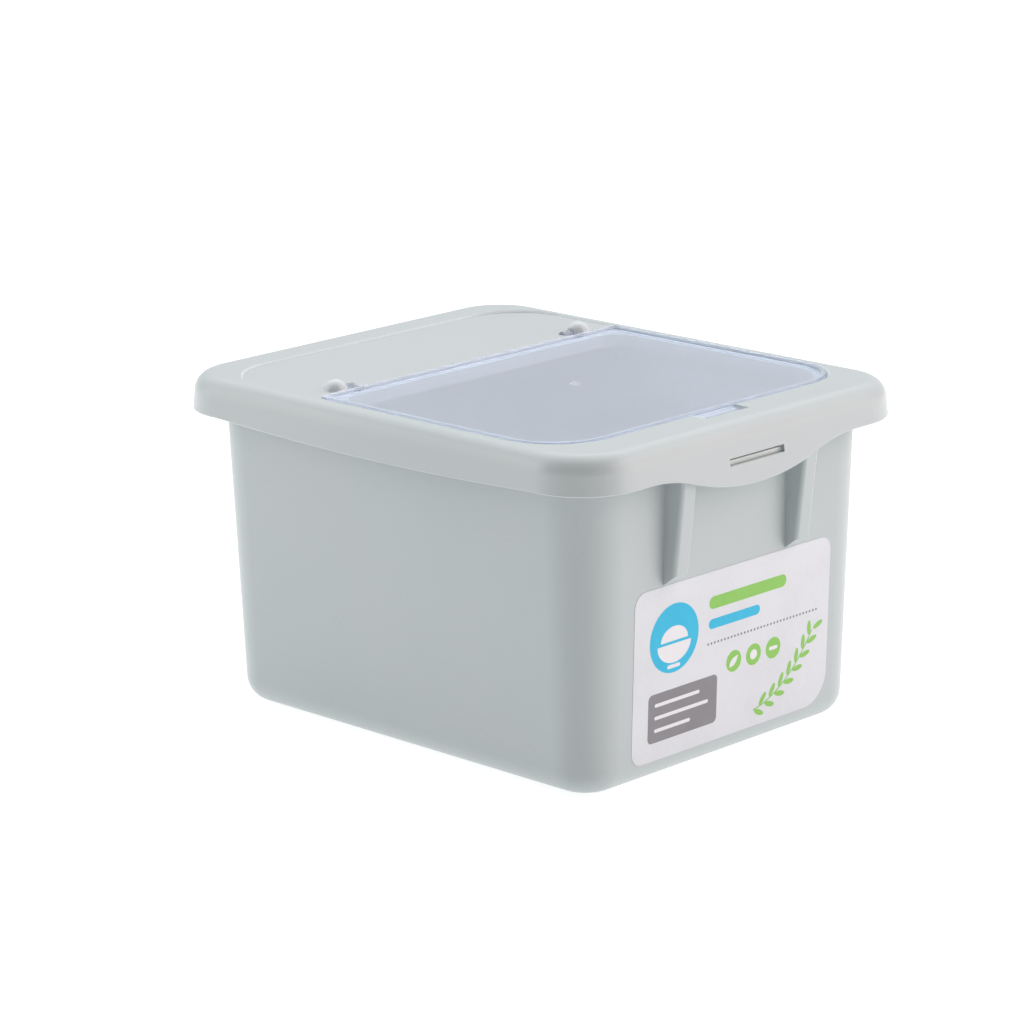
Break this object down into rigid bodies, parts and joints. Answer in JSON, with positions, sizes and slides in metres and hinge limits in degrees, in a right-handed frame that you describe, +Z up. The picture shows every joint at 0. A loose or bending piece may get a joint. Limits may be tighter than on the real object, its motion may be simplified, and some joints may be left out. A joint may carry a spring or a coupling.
{
  "type": "rice storage box",
  "caption": "Tapered plastic rice storage box with a lift-off skirted lid, a clear hinged flap over the filling opening and a paper label on the front wall.",
  "frame": {"origin": "middle of the tub's flat base", "axes": "+Z up, -Y towards the front with the latch slot and the label, +X to the right seen from the front"},
  "size_m": [0.2604, 0.319, 0.1934],
  "materials": {
    "tub_plastic": "satin",
    "lid_plastic": "satin",
    "flap_plastic": "clear, slightly blue",
    "label_paper": "coated paper"
  },
  "bodies": {
    "tub_body": {"tub": "tub_plastic", "label": "label_paper"},
    "lid_body": {"lid": "lid_plastic"},
    "flap_body": {"flap": "flap_plastic"}
  },
  "joints": [
    {"name": "lid_lift", "type": "slide", "parent": "tub_body", "child": "lid_body", "axis": [0, 0, 1], "range_m": [0, 0.06]},
    {"name": "flap_hinge", "type": "hinge", "parent": "lid_body", "child": "flap_body", "pos_m": [0, 0.05943, 0.1866], "axis": [-1, 0, 0], "range_deg": [0, 110]}
  ]
}
